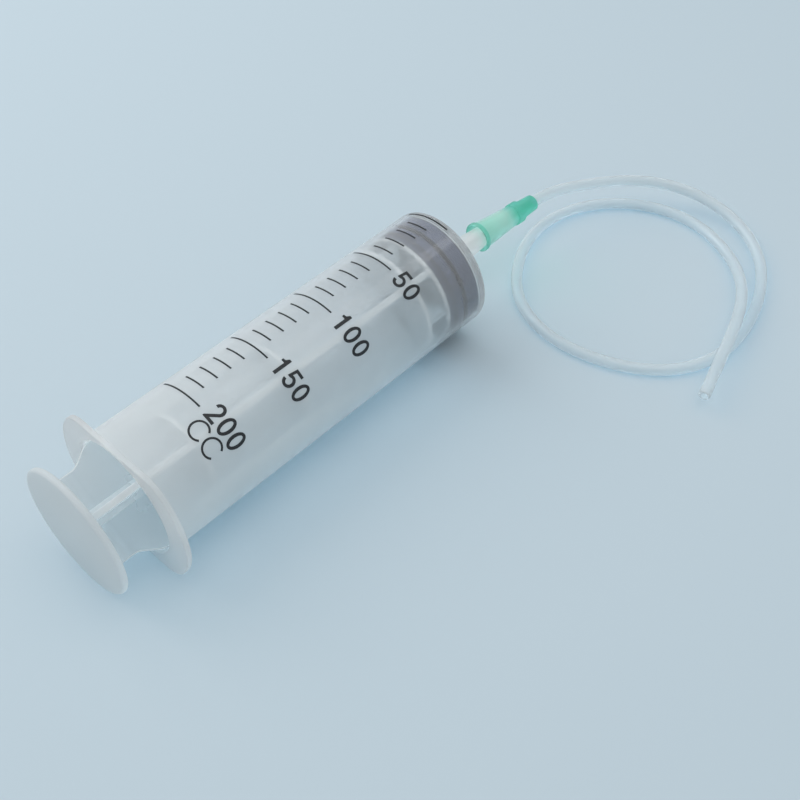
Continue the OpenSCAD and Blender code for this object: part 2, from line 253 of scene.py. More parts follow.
# Natural polypropylene, injection moulded: crystals in the wall cloud it, so what touches the wall shows sharp,
# what lies deeper blurs away, and the whole looks milky with a soft satin sheen
@dataclass(frozen=True)
class MilkyPolypropylene:
    """Injection-moulded natural polypropylene, milky and satin."""

    name: str
    thin: str
    thick: str
    haze: float
    more_haze: float
    roughness: float
    shade: str
    cloud_mm: float = 16.0
    ripple_mm: float = 5.0
    ripple_height_mm: float = 0.003
    haze_swing: float = 0.01
    sheen_swing: float = 0.1

    def material(self) -> Material:
        """Builds the material, with faint clouds in its haze and the ripple that a mould leaves.

        Returns:
            The material.
        """
        material, tree, place = new_material(self.name)
        least, most = (self.roughness * (1 + side * self.sheen_swing) for side in (-1, 1))
        looks = {
            "Base Color": linear("#FFFFFF"),
            "Transmission Weight": 1.0,
            "Roughness": patches(tree, place, self.cloud_mm, least, most, 3.0),
            "IOR": 1.49,
            "Normal": relief(tree, place, self.ripple_mm, self.ripple_height_mm),
        }
        clear = add_node(tree, "ShaderNodeBsdfPrincipled", looks).outputs["BSDF"]
        share, colour = two_looks(tree, self.thin, self.thick)
        low, high = self.haze - self.haze_swing, self.haze + self.haze_swing
        values = {0: share, 1: self.more_haze, 2: patches(tree, place, self.cloud_mm, low, high, 3.0)}
        haze = add_node(tree, "ShaderNodeMath", values, operation="MULTIPLY_ADD").outputs[0]
        cloudy(tree, clear, colour, haze, self.shade)
        return material


# Butyl rubber, moulded in a polished tool and oiled: dark grey-blue, smooth, with a soft wide highlight
@dataclass(frozen=True)
class MouldedRubber:
    """Dark grey-blue butyl rubber."""

    name: str = "butyl_rubber_moulded"
    # The dark colour is painted shade, for the grooves and along the bands' edges; the band colour is the rubber's
    # own
    dark: str = "#131C31"
    band_colour: str = "#3B4866"
    # The real grain is finer, and this is as coarse as it has to be to show
    grain_mm: float = 0.5
    grain_height_mm: float = 0.01
    # Patches where the rubber's colour fades a little towards the painted shade: their size and the least share
    # kept
    band_patch_mm: float = 7.0
    band_patch_cover: float = 0.86

    def material(self) -> Material:
        """Builds the material: patches of the rubber's colour on the bands, painted shade in the grooves and at
        band edges, over a fine grain.

        Returns:
            The material.
        """
        material, tree, place = new_material(self.name)
        cover = patches(tree, place, self.band_patch_mm, self.band_patch_cover, 1.0, 4.0)
        looks = {
            "Base Color": two_looks(tree, self.dark, self.band_colour, cover)[1],
            "Roughness": 0.38,
            "IOR": 1.52,
            "Normal": relief(tree, place, self.grain_mm, self.grain_height_mm),
        }
        shader = add_node(tree, "ShaderNodeBsdfPrincipled", looks)
        add_node(tree, "ShaderNodeOutputMaterial", {"Surface": shader.outputs["BSDF"]})
        return material


# Plasticised PVC, extruded or moulded: soft and glossy, so long highlights run along it, nearly clear in the tube
# and tinted through in the funnel, whose thick parts and edges look darker
@dataclass(frozen=True)
class SoftVinyl:
    """Soft, glossy plasticised PVC."""

    name: str
    thin: str
    thick: str
    haze: float
    roughness: float
    shade: str
    streak_mm: float = 3.0
    streak_height_mm: float = 0.004
    sheen_swing: float = 0.2

    def material(self) -> Material:
        """Builds the material, with the slight unevenness of a soft, glossy surface.

        Returns:
            The material.
        """
        material, tree, place = new_material(self.name)
        _, colour = two_looks(tree, self.thin, self.thick)
        least, most = (self.roughness * (1 + side * self.sheen_swing) for side in (-1, 1))
        looks = {
            "Base Color": colour,
            "Transmission Weight": 1.0,
            "Roughness": patches(tree, place, self.streak_mm, least, most),
            "IOR": 1.53,
            "Normal": relief(tree, place, self.streak_mm, self.streak_height_mm),
        }
        clear = add_node(tree, "ShaderNodeBsdfPrincipled", looks).outputs["BSDF"]
        cloudy(tree, clear, colour, self.haze, self.shade)
        return material


# Pad-printing ink on the barrel: a thin, nearly matt black film whose cover is slightly uneven
@dataclass(frozen=True)
class PadPrintInk:
    """Black pad-printing ink."""

    name: str = "pad_print_ink_black"
    dark: str = "#14181C"
    thin: str = "#2A2F35"
    cover_mm: float = 0.8

    def material(self) -> Material:
        """Builds the material.

        Returns:
            The material.
        """
        material, tree, place = new_material(self.name)
        pattern = {"Vector": place, "Scale": 1 / (self.cover_mm * MM), "Detail": 3.0}
        cover = add_node(tree, "ShaderNodeTexNoise", pattern).outputs["Fac"]
        ramp = add_node(tree, "ShaderNodeValToRGB", {"Fac": cover})
        stops = ((self.dark, 0.45), (self.thin, 0.8))
        for element, (colour, position) in zip(ramp.color_ramp.elements, stops):
            element.color = linear(colour)
            element.position = position
        looks = {"Base Color": ramp.outputs["Color"], "Roughness": 0.5}
        shader = add_node(tree, "ShaderNodeBsdfPrincipled", looks)
        add_node(tree, "ShaderNodeOutputMaterial", {"Surface": shader.outputs["BSDF"]})
        return material


def bow(cx: float, cy: float, rx: float, ry: float, start: float, end: float, steps: int = 18) -> Points:
    """Points on an oval from one angle to another, in degrees from the first direction towards the second."""
    angles = [math.radians(start + (end - start) * i / steps) for i in range(steps + 1)]
    return [(cx + rx * math.cos(a), cy + ry * math.sin(a)) for a in angles]


def arc(x: float, r: float, radius: float, start: float, end: float) -> Points:
    """Points of a rounded edge about (x, r), with angles in degrees from +x towards +r."""
    return bow(x, r, radius, radius, start, end, EDGE_STEPS)


def between(start: tuple[float, float], end: tuple[float, float], count: int) -> Points:
    """Points that split a straight stretch of a profile into count parts, without its ends."""
    shares = [i / count for i in range(1, count)]
    return [(start[0] + (end[0] - start[0]) * f, start[1] + (end[1] - start[1]) * f) for f in shares]


def around(x: float, radius: float | Callable[[float], float], sides: int) -> Loop:
    """One loop of points across the axis.

    Args:
        x: Place along the axis.
        radius: Distance from the axis, or a function that gives it for an angle from up towards +Y.
        sides: Number of points.

    Returns:
        The loop's points.
    """
    loop = []
    for i in range(sides):
        a = math.tau * i / sides
        r = radius(a) if callable(radius) else radius
        loop.append(Vector((x, r * math.sin(a), r * math.cos(a))))
    return loop


def put_in_scene(name: str, data: bpy.types.ID) -> Piece:
    """Puts a mesh, curve, camera or lamp into the scene as an object.

    Args:
        name: Name of the object.
        data: What it shows.

    Returns:
        The object.
    """
    obj = bpy.data.objects.new(name, data)
    bpy.context.scene.collection.objects.link(obj)
    return obj


def piece_from_bmesh(
    name: str,
    shape: Shape,
    place: Matrix,
    material: Material,
    blend: Callable[[float, float], float] | None = None,
) -> Piece:
    """Closes, turns outwards and places a shape in millimetres as a finished object in metres.

    Args:
        name: Name of the object.
        shape: The shape, which is freed.
        place: Where the shape goes, in millimetres.
        material: Its material.
        blend: Gives the share of the finish's thick look for a place along the axis and a distance from it.

    Returns:
        The object, at the origin with its place in its mesh.
    """
    bmesh.ops.remove_doubles(shape, verts=shape.verts, dist=MERGE_MM)
    if blend:
        layer = shape.verts.layers.float.new(BLEND)
        for vert in shape.verts:
            vert[layer] = blend(vert.co.x, math.hypot(vert.co.y, vert.co.z))
    bmesh.ops.transform(shape, matrix=Matrix.Scale(MM, 4) @ place, verts=shape.verts)
    bmesh.ops.recalc_face_normals(shape, faces=shape.faces)
    mesh = bpy.data.meshes.new(name)
    shape.to_mesh(mesh)
    shape.free()
    mesh.materials.append(material)
    finish_shading(mesh)
    return put_in_scene(name, mesh)


def finish_shading(mesh: bpy.types.Mesh) -> None:
    """Shades a mesh smooth, apart from its crisp edges."""
    mesh.shade_smooth()
    mesh.set_sharp_from_angle(angle=CRISP_ANGLE)


def close_ends(shape: Shape) -> Shape:
    """Closes each open end of a shape with one flat face."""
    bmesh.ops.holes_fill(shape, edges=[edge for edge in shape.edges if len(edge.link_faces) == 1], sides=0)
    return shape


def skin(loops: Sequence[Loop], shut: bool) -> Shape:
    """Joins loops of equal length into a surface.

    Args:
        loops: The loops in order.
        shut: Whether the last loop joins the first.

    Returns:
        The surface.
    """
    shape = bmesh.new()
    rows = [[shape.verts.new(point) for point in loop] for loop in loops]
    for near, far in zip(rows, rows[1:] + rows[:1] if shut else rows[1:]):
        for i, point in enumerate(near):
            j = (i + 1) % len(near)
            shape.faces.new((point, near[j], far[j], far[i]))
    return shape


def turned(profile: Points, sides: int = FINE_SIDES, shut: bool = False) -> Shape:
    """Turns a profile of (x, r) about the axis and closes its ends where they don't meet.

    Args:
        profile: The profile's points.
        sides: Number of faces around.
        shut: Whether the last point joins the first.

    Returns:
        The surface.
    """
    shape = skin([around(x, r, sides) for x, r in profile], shut)
    bmesh.ops.remove_doubles(shape, verts=shape.verts, dist=MERGE_MM)
    return close_ends(shape)


def evaluated(obj: Piece) -> bpy.types.Mesh:
    """A plain mesh of an object with its modifiers applied.

    Args:
        obj: The object.

    Returns:
        The mesh.
    """
    graph = bpy.context.evaluated_depsgraph_get()
    graph.update()
    return bpy.data.meshes.new_from_object(obj.evaluated_get(graph), depsgraph=graph)


def applied(obj: Piece) -> Piece:
    """Turns an object's modifiers into its mesh and takes them off.

    Args:
        obj: The object.

    Returns:
        The same object.
    """
    mesh = evaluated(obj)
    obj.modifiers.clear()
    old = obj.data
    obj.data = mesh
    bpy.data.meshes.remove(old)
    finish_shading(obj.data)
    return obj


def combine(base: Piece, others: Sequence[Piece], how: Combining) -> Piece:
    """Adds other closed shapes to one, or cuts them from it, and removes them.

    Args:
        base: Shape that is kept.
        others: Shapes that are used up.
        how: Whether they are added or cut.

    Returns:
        The base, as one plain mesh.
    """
    group = bpy.data.collections.new("tools")
    for other in others:
        group.objects.link(other)
    tool = base.modifiers.new("combine", "BOOLEAN")
    tool.operation = how.value
    tool.operand_type = "COLLECTION"
    tool.collection = group
    tool.solver = "EXACT"
    applied(base)
    shape = bmesh.new()
    shape.from_mesh(base.data)
    bmesh.ops.dissolve_degenerate(shape, edges=shape.edges, dist=MERGE_MM * MM)
    shape.to_mesh(base.data)
    shape.free()
    finish_shading(base.data)
    for other in others:
        mesh = other.data
        bpy.data.objects.remove(other)
        bpy.data.meshes.remove(mesh)
    bpy.data.collections.remove(group)
    return base


def hand_over(piece: Piece, body: Body, slot: Slot, *nodes: str) -> None:
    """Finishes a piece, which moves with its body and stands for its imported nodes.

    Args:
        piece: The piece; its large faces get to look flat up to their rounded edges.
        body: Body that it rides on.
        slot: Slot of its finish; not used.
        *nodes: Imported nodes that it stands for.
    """
    shading = piece.modifiers.new("large faces first", "WEIGHTED_NORMAL")
    shading.keep_sharp = True
    mesh = evaluated(piece)
    piece.modifiers.clear()
    piece.data = mesh
    mesh.name = piece.name
    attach(piece, body.value)
    if nodes:
        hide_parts(*nodes)
    LOG.info("%s rides on %s, %d faces", piece.name, body.value, len(piece.data.polygons))


@dataclass
class Barrel:
    """Barrel, finger flange and nozzle, moulded in one, in millimetres."""

    outer_r: float = 24.4
    bore_r: float = 22.9
    mouth_x: float = -154.1
    front_wall: float = 2.4
    front_rise: float = 2.6
    front_round: float = 1.2
    chamfer: float = 0.6
    bead_x: float = -150.1
    bead_half: float = 1.2
    bead_h: float = 0.3
    flange_r: float = 32.8
    flange_half: float = 24.7
    flange_t: float = 2.2
    flange_corner: float = 11.0
    flange_edge: float = 0.5
    nozzle_len: float = 35.4
    root_r: float = 5.7
    tip_r: float = 3.1
    nozzle_bore_r: float = 1.7
    nozzle_fillet: float = 1.5
    nozzle_edge: float = 0.6
    flange_fillet: float = 0.35
    flange_foot: float = 0.2
    bore_edge: float = 0.15
    bore_lead: float = 0.3
    # Fillet between cone and nozzle: one point from the cone's foot, the others from the nozzle's root
    nozzle_curve: Points = field(default_factory=lambda: [(0.35, 0.62), (0.55, 0.18), (1.5, -0.07)])
    # Corner of the bore's front: places along the axis, and how far inside the bore
    bore_curve: Points = field(default_factory=lambda: [(0.25, 1.2), (0.0, 0.5), (-0.5, 0.0)])
    cone_rings: int = 8
    # Shares of the thick look in the flange, at the front wall's face and at the barrel's mouth
    flange_blend: float = 0.9
    front_blend: float = 0.7
    back_blend: float = 0.36
    finish: MilkyPolypropylene = MilkyPolypropylene(
        "polypropylene_milky_barrel", "#EEF2F4", "#F4F5F5", 0.06, 0.54, 0.08, "#E6EDF0"
    )

    @property
    def nozzle_x(self) -> float:
        """Where the front wall's cone meets the nozzle."""
        return self.front_wall + self.front_rise

    @property
    def nozzle_end(self) -> float:
        """The nozzle's end."""
        return self.nozzle_x + self.nozzle_len

    def nozzle_r(self, x: float) -> float:
        """Radius of the nozzle's taper at a place along the axis."""
        return self.root_r - (self.root_r - self.tip_r) / self.nozzle_len * (x - self.nozzle_x)

    def flange_outline(self, angle: float) -> float:
        """Distance from the axis to the flange's edge, for an angle from up towards +Y.

        Args:
            angle: The angle in radians.

        Returns:
            The distance.
        """
        corner_z = self.flange_half - self.flange_corner
        corner_y = math.sqrt((self.flange_r - self.flange_corner) ** 2 - corner_z**2)
        y, z = abs(math.sin(angle)), abs(math.cos(angle))
        folded = math.atan2(y, z)
        if folded <= math.atan2(corner_y, self.flange_half):
            return self.flange_half / z
        if folded >= math.atan2(corner_y, corner_z):
            return self.flange_r
        along = y * corner_y + z * corner_z
        return along + math.sqrt(along**2 - corner_y**2 - corner_z**2 + self.flange_corner**2)

    def loops(self) -> list[Loop]:
        """Loops of the closed wall: over the flange and the outside to the nozzle, and back through the bore.

        Returns:
            The loops in order.
        """
        edge, fillet, inner = self.flange_edge, self.flange_fillet, self.outer_r + self.flange_foot
        face = self.mouth_x + self.flange_t
        loops = [around(self.mouth_x, self.bore_r + self.chamfer, FINE_SIDES)]
        rim = arc(self.mouth_x + edge, -edge, edge, 180, 90) + arc(face - edge, -edge, edge, 90, 0)
        for x, out in rim:
            loops.append(around(x, lambda a, out=out: max(self.flange_outline(a) + out, inner), FINE_SIDES))
        outside = [(x, min(r, inner)) for x, r in arc(face + fillet, self.outer_r + fillet, fillet, 180, 270)]
        outside += arc(self.front_wall - self.front_round, self.outer_r - self.front_round, self.front_round, 90, 0)
        slope = self.front_rise / (self.outer_r - self.root_r)
        foot = (self.nozzle_x - self.nozzle_fillet * slope, self.root_r + self.nozzle_fillet)
        outside += [*between(outside[-1], foot, self.cone_rings), foot]
        starts = (foot[0], self.nozzle_x, self.nozzle_x)
        outside += [(start + x, self.root_r + r) for start, (x, r) in zip(starts, self.nozzle_curve)]
        edge = self.nozzle_edge
        outside += arc(self.nozzle_end - edge, self.tip_r - edge, edge, 90, 0)
        throat = (self.front_rise, self.nozzle_bore_r + self.bore_lead)
        corner = [(x, self.bore_r - inset) for x, inset in self.bore_curve]
        inside = [
            (self.nozzle_end, self.nozzle_bore_r + self.bore_edge),
            (self.nozzle_end - self.bore_edge, self.nozzle_bore_r),
            (self.front_rise + self.bore_lead, self.nozzle_bore_r),
            throat,
            *between(throat, corner[0], self.cone_rings),
            *corner,
            (self.bead_x + self.bead_half, self.bore_r),
            (self.bead_x, self.bore_r - self.bead_h),
            (self.bead_x - self.bead_half, self.bore_r),
            (self.mouth_x + self.chamfer, self.bore_r),
        ]
        return loops + [around(x, r, FINE_SIDES) for x, r in outside + inside]

    def blend(self, x: float, r: float) -> float:
        """Share of the thick look: most in the flange and the nozzle, least in the wall round the piston.

        Args:
            x: Place along the axis.
            r: Distance from the axis.

        Returns:
            The share, from 0 to 1.
        """
        if x < self.bead_x - self.bead_half:
            return self.flange_blend
        if r < self.root_r + self.nozzle_fillet + NEAR_MM:
            return 1.0
        if x > -self.front_round:
            return self.front_blend * min(max(x / self.front_wall, 0.0), 1.0)
        return self.back_blend * x / self.mouth_x

    def build(self) -> None:
        """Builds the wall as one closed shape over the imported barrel."""
        shape = skin(self.loops(), True)
        shell = piece_from_bmesh("barrel_moulding", shape, LYING, self.finish.material(), self.blend)
        hand_over(shell, Body.BARREL, Slot.BARREL, "barrel")


# Outlines of the printed figures on a field of height 1: bold upright figures and wide, light unit letters
FIGURES: dict[str, Points] = {
    "1": [(0.12, 1), (0.12, 0), (-0.05, 0), (-0.05, 0.68), (-0.23, 0.68), (-0.23, 0.8), (-0.1, 0.83), (-0.01, 1)],
    "2": bow(0, 0.69, 0.29, 0.31, 172, -38)
    + [(-0.045, 0.155), (0.29, 0.155), (0.29, 0), (-0.3, 0), (-0.3, 0.08)]
    + bow(0, 0.69, 0.135, 0.165, -38, 172),
    "5": [(-0.19, 1), (0.26, 1), (0.26, 0.85), (-0.07, 0.85)]
    + bow(-0.01, 0.33, 0.3, 0.33, 108, -172)
    + bow(-0.01, 0.33, 0.145, 0.18, -172, 128)
    + [(-0.26, 0.46)],
    "C": bow(0.04, 0.5, 0.47, 0.5, 38, 322, 30) + bow(0.04, 0.5, 0.37, 0.4, 322, 38, 30),
}
# The nought is a ring between two ovals
NOUGHT = (bow(0, 0.5, 0.3, 0.5, 0, 360, 36), bow(0, 0.5, 0.145, 0.35, 0, 360, 36))


@dataclass
class PrintedScale:
    """Black scale printed on the barrel: marks every 10 cc, figures every 50 cc and the unit."""

    barrel_r: float = 24.4
    film: float = 0.03
    strip: float = 0.8
    marks: int = 21
    mark_points: int = 25
    pitch: float = 6.07
    long_every: int = 5
    line: float = 0.7
    short_arc: tuple[float, float] = (-2.4, 21.25)
    long_arc: tuple[float, float] = (-14.2, 34.7)
    figure_h: float = 8.0
    figure_step: float = 13.5
    figures: dict[str, tuple[float, float]] = field(
        default_factory=lambda: {
            "50": (-29.8, -27.0),
            "100": (-60.0, -26.5),
            "150": (-89.2, -26.5),
            "200": (-118.7, -26.5),
        }
    )
    unit: tuple[float, float, float] = (-127.2, -29.0, 17.0)
    unit_h: float = 8.0
    finish: PadPrintInk = PadPrintInk()
    ink: Material = field(init=False)

    def figure(self, shape: Shape, sign: str, x: float, angle: float, size: float) -> None:
        """Lays one figure out flat, with its width along Y.

        Args:
            shape: Takes the figure's faces.
            sign: The figure.
            x: Its middle along the axis.
            angle: Its middle round the barrel, in degrees from the top towards +Y.
            size: Its height.
        """
        across = self.barrel_r * math.radians(angle)

        def corners(outline: Points) -> list[bmesh.types.BMVert]:
            """The outline's points as vertices of the shape."""
            return [shape.verts.new((x + (v - 0.5) * size, across - u * size, 0)) for u, v in outline]

        if sign in FIGURES:
            shape.faces.new(corners(FIGURES[sign]))
            return
        outer, inner = (corners(outline[:-1]) for outline in NOUGHT)
        for i, point in enumerate(outer):
            j = (i + 1) % len(outer)
            shape.faces.new((point, outer[j], inner[j], inner[i]))

    def wrap(self, shape: Shape) -> None:
        """Wraps a flat print round the barrel, in strips so narrow that it follows the wall.

        Args:
            shape: The print, flat, with its width along Y.
        """
        bmesh.ops.triangulate(shape, faces=shape.faces[:])
        reach = [vert.co.y for vert in shape.verts]
        for i in range(math.ceil(min(reach) / self.strip), math.floor(max(reach) / self.strip) + 1):
            whole = shape.verts[:] + shape.edges[:] + shape.faces[:]
            bmesh.ops.bisect_plane(shape, geom=whole, plane_co=(0, i * self.strip, 0), plane_no=(0, 1, 0))
        bmesh.ops.dissolve_degenerate(shape, edges=shape.edges, dist=MERGE_MM)
        r = self.barrel_r + self.film / 2
        for vert in shape.verts:
            turn = vert.co.y / self.barrel_r
            vert.co = (vert.co.x, r * math.sin(turn), r * math.cos(turn))

    def film_of(self, name: str, shape: Shape) -> None:
        """Wraps a flat print, gives it its thin film and hands it over.

        Args:
            name: Name of the piece.
            shape: The print, which is freed.
        """
        self.wrap(shape)
        bmesh.ops.transform(shape, matrix=Matrix.Scale(MM, 4) @ LYING, verts=shape.verts)
        mesh = bpy.data.meshes.new(name)
        shape.to_mesh(mesh)
        shape.free()
        mesh.materials.append(self.ink)
        self.thicken(put_in_scene(name, mesh))

    def thicken(self, flat: Piece) -> None:
        """Gives a flat print the thickness of its film, half to each side, and hands it over.

        Args:
            flat: The print in its place.
        """
        wall = flat.modifiers.new("film", "SOLIDIFY")
        wall.thickness = self.film * MM
        wall.offset = 0
        hand_over(applied(flat), Body.BARREL, Slot.INK)

    def mark_tree(self) -> Tree:
        """Geometry nodes that lay the marks out in a row and wrap them round the barrel.

        Returns:
            The tree, with named inputs for the scale's sizes.
        """
        lengths = ("Pitch", "Line width", "Radius", "Short length", "Short middle", "Long length", "Long middle")
        kinds = {"Marks": "Int", "Long every": "Int", **dict.fromkeys(lengths, "Float"), "Ink": "Material"}
        tree, sizes = geometry_tree("scale_marks", kinds)
        pitch = add_node(tree, "ShaderNodeMath", {0: sizes["Pitch"], 1: -1.0}, operation="MULTIPLY")
        step = add_node(tree, "ShaderNodeCombineXYZ", {"X": pitch.outputs[0]})
        row = add_node(tree, "GeometryNodeMeshLine", {"Count": sizes["Marks"], "Offset": step.outputs[0]})
        index = add_node(tree, "GeometryNodeInputIndex")
        turn = add_node(tree, "ShaderNodeMath", {0: index.outputs[0], 1: sizes["Long every"]}, operation="MODULO")
        is_long = add_node(tree, "ShaderNodeMath", {0: turn.outputs[0], 1: 0.5}, operation="LESS_THAN")
        is_short = add_node(tree, "ShaderNodeMath", {0: 1.0, 1: is_long.outputs[0]}, operation="SUBTRACT")
        joined = add_node(tree, "GeometryNodeJoinGeometry")
        for kind, chosen in (("Short", is_short), ("Long", is_long)):
            size = {"Size X": sizes["Line width"], "Size Y": sizes[f"{kind} length"]}
            grid = {**size, "Vertices X": 2, "Vertices Y": self.mark_points}
            bar = add_node(tree, "GeometryNodeMeshGrid", grid)
            middle = add_node(tree, "ShaderNodeCombineXYZ", {"Y": sizes[f"{kind} middle"]})
            move = {"Geometry": bar.outputs["Mesh"], "Translation": middle.outputs[0]}
            mark = add_node(tree, "GeometryNodeTransform", move)
            spots = {"Points": row.outputs[0], "Instance": mark.outputs[0], "Selection": chosen.outputs[0]}
            laid = add_node(tree, "GeometryNodeInstanceOnPoints", spots)
            tree.links.new(laid.outputs[0], joined.inputs[0])
        real = add_node(tree, "GeometryNodeRealizeInstances", {"Geometry": joined.outputs[0]})
        place = add_node(tree, "ShaderNodeSeparateXYZ", {0: add_node(tree, "GeometryNodeInputPosition").outputs[0]})
        angle = add_node(tree, "ShaderNodeMath", {0: place.outputs["Y"], 1: sizes["Radius"]}, operation="DIVIDE")
        onto = {"X": place.outputs["X"]}
        for axis, operation in (("Y", "SINE"), ("Z", "COSINE")):
            share = add_node(tree, "ShaderNodeMath", {0: angle.outputs[0]}, operation=operation)
            reach = {0: share.outputs[0], 1: sizes["Radius"]}
            onto[axis] = add_node(tree, "ShaderNodeMath", reach, operation="MULTIPLY").outputs[0]
        wrapped = add_node(tree, "ShaderNodeCombineXYZ", onto).outputs[0]
        bent = add_node(tree, "GeometryNodeSetPosition", {"Geometry": real.outputs[0], "Position": wrapped})
        inked = add_node(tree, "GeometryNodeSetMaterial", {"Geometry": bent.outputs[0], "Material": sizes["Ink"]})
        add_node(tree, "NodeGroupOutput", {"Geometry": inked.outputs[0]})
        return tree

    def build_marks(self) -> None:
        """Builds the row of marks."""
        marks = put_in_scene("scale_marks", bpy.data.meshes.new("scale_marks"))
        nodes = marks.modifiers.new("marks", "NODES")
        nodes.node_group = self.mark_tree()
        r = (self.barrel_r + self.film / 2) * MM
        values: dict[str, Any] = {
            "Marks": self.marks,
            "Long every": self.long_every,
            "Pitch": self.pitch * MM,
            "Line width": self.line * MM,
            "Radius": r,
            "Ink": self.ink,
        }
        for kind, (low, high) in {"Short": self.short_arc, "Long": self.long_arc}.items():
            values[f"{kind} length"] = r * math.radians(high - low)
            values[f"{kind} middle"] = r * math.radians((high + low) / 2)
        set_inputs(nodes, values)
        applied(marks)
        place = LYING.copy()
        place.translation *= MM
        marks.data.transform(place)
        self.thicken(marks)

    def build(self) -> None:
        """Builds the marks, the figures and the unit."""
        self.ink = self.finish.material()
        self.build_marks()
        for text, (x, first) in self.figures.items():
            shape = bmesh.new()
            for i, sign in enumerate(text):
                self.figure(shape, sign, x, first - i * self.figure_step, self.figure_h)
            self.film_of(f"figure_{text}", shape)
        shape = bmesh.new()
        x, first, step = self.unit
        for i in range(2):
            self.figure(shape, "C", x, first - i * step, self.unit_h)
        self.film_of("unit_letters", shape)


def geometry_tree(name: str, inputs: dict[str, str]) -> tuple[Tree, Any]:
    """Starts a tree of geometry nodes.

    Args:
        name: Name of the tree.
        inputs: Kind of each input by its name.

    Returns:
        The tree and its inputs' sockets by name.
    """
    tree = bpy.data.node_groups.new(name, "GeometryNodeTree")
    tree.interface.new_socket("Geometry", in_out="OUTPUT", socket_type="NodeSocketGeometry")
    for label, kind in inputs.items():
        tree.interface.new_socket(label, in_out="INPUT", socket_type=f"NodeSocket{kind}")
    return tree, add_node(tree, "NodeGroupInput").outputs


def set_inputs(modifier: bpy.types.NodesModifier, values: dict[str, Any]) -> None:
    """Sets a geometry nodes modifier's inputs by their sockets' identifiers.

    Args:
        modifier: The modifier.
        values: Value for each input's name.
    """
    for item in modifier.node_group.interface.items_tree:
        if item.item_type == "SOCKET" and item.in_out == "INPUT" and item.name in values:
            modifier[item.identifier] = values[item.name]


@dataclass
class RubberPiston:
    """Rubber piston with two sealing bands, a coned nose and the cavity that holds the rod's head."""

    r: float = 22.85
    front: float = -1.0
    band_1: float = -8.0
    band_2: float = -9.2
    band_3: float = -13.6
    back: float = -15.9
    groove_r: float = 21.55
    skirt_r: float = 21.95
    cavity_r: float = 17.05
    neck_r: float = 14.85
    lip: float = 2.8
    cavity: float = 5.0
    lead: float = 0.4
    edge: float = 0.1
    skirt_edge: float = 0.3
    # Foot of the nose's cone: how far before the band's edge, and how far below its face
    foot: tuple[float, float] = (0.08, 1.0)
    nose: Points = field(default_factory=lambda: [(1.594, 0.0), (1.594, 1.7)])
    # How far from each band's edge the painted shade reaches; the profile has points there
    shaded_edge_width: float = 0.65
    cone_rings: int = 8
    nose_blend: float = 0.6
    finish: MouldedRubber = MouldedRubber()

    def blend(self, x: float, r: float) -> float:
        """Share of the rubber's colour: whole on bands, less on nose and skirt; painted shade in the grooves and at
        band edges.

        Args:
            x: Place along the axis.
            r: Distance from the axis.

        Returns:
            The share, from 0 to 1.
        """
        on_skirt = x < self.band_3 - self.lead + NEAR_MM and r > self.skirt_r - self.skirt_edge - NEAR_MM
        if x > self.front or on_skirt:
            return self.nose_blend
        if r < self.r - NEAR_MM:
            return 0.0
        edges = (self.front, self.band_1, self.band_2, self.band_3)
        return 0.0 if min(abs(x - edge) for edge in edges) < self.shaded_edge_width - NEAR_MM else 1.0

    def build(self) -> None:
        """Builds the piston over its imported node."""
        lead, r, edge = self.lead, self.r, self.edge
        foot = (self.front + self.foot[0], r - self.foot[1])
        # From a band down into the groove, counted from the band's edge
        drop = [(self.shaded_edge_width, r), (lead, r), (edge, r - 0.25), (0.0, r - 0.5), (-edge, self.groove_r)]
        inner = self.back + self.lip
        profile = [
            *self.nose,
            *between(self.nose[-1], foot, self.cone_rings),
            foot,
            *arc(self.front - lead, r - lead, lead, 0, 90),
            (self.front - self.shaded_edge_width, r),
            *((self.band_1 + x, y) for x, y in drop),
            *((self.band_2 - x, y) for x, y in reversed(drop)),
            (self.band_3 + self.shaded_edge_width, r),
            (self.band_3 + lead, r),
            (self.band_3 + edge, r - 0.2),
            (self.band_3 - lead, self.skirt_r),
            (self.back + self.skirt_edge, self.skirt_r),
            (self.back, self.skirt_r - self.skirt_edge),
            (self.back, self.neck_r),
            (inner, self.neck_r),
            (inner, self.cavity_r),
            (inner + self.cavity, self.cavity_r),
            (inner + self.cavity, 0.0),
        ]
        piston = piece_from_bmesh("piston_moulding", turned(profile), LYING, self.finish.material(), self.blend)
        hand_over(piston, Body.PISTON, Slot.PISTON, "rubber_piston")


